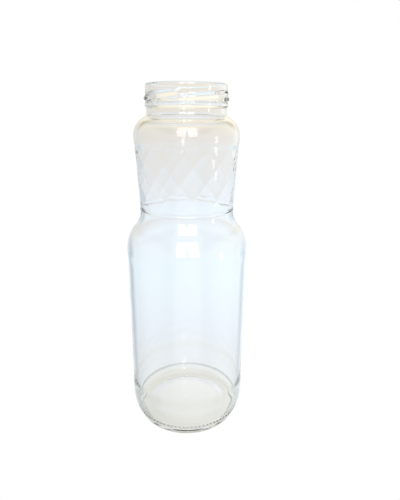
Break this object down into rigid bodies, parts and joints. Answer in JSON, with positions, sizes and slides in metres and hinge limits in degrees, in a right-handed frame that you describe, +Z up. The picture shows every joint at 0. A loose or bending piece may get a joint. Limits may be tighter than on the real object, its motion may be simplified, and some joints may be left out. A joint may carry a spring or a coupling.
{
  "type": "glass milk bottle",
  "caption": "Clear glass bottle for milk, with a lugged twist-off mouth, a faceted neck, S-curved shoulders, a plain body and a knurled heel.",
  "frame": {"origin": "on the bottle's axis, in the plane that it stands on", "axes": "+Z up along the bottle's axis, -Y towards the viewer of the picture, +X to the viewer's right"},
  "size_m": [0.0718, 0.0718, 0.2047],
  "materials": {
    "clear_glass": "fire-polished clear glass"
  },
  "bodies": {
    "root": {"push_up_base": "clear_glass", "heel": "clear_glass", "body_wall": "clear_glass", "lower_shoulder": "clear_glass", "waist_band": "clear_glass", "faceted_neck": "clear_glass", "upper_shoulder": "clear_glass", "transfer_bead": "clear_glass", "lug_wall": "clear_glass", "lid_lugs": "clear_glass", "sealing_lip": "clear_glass"}
  },
  "joints": []
}
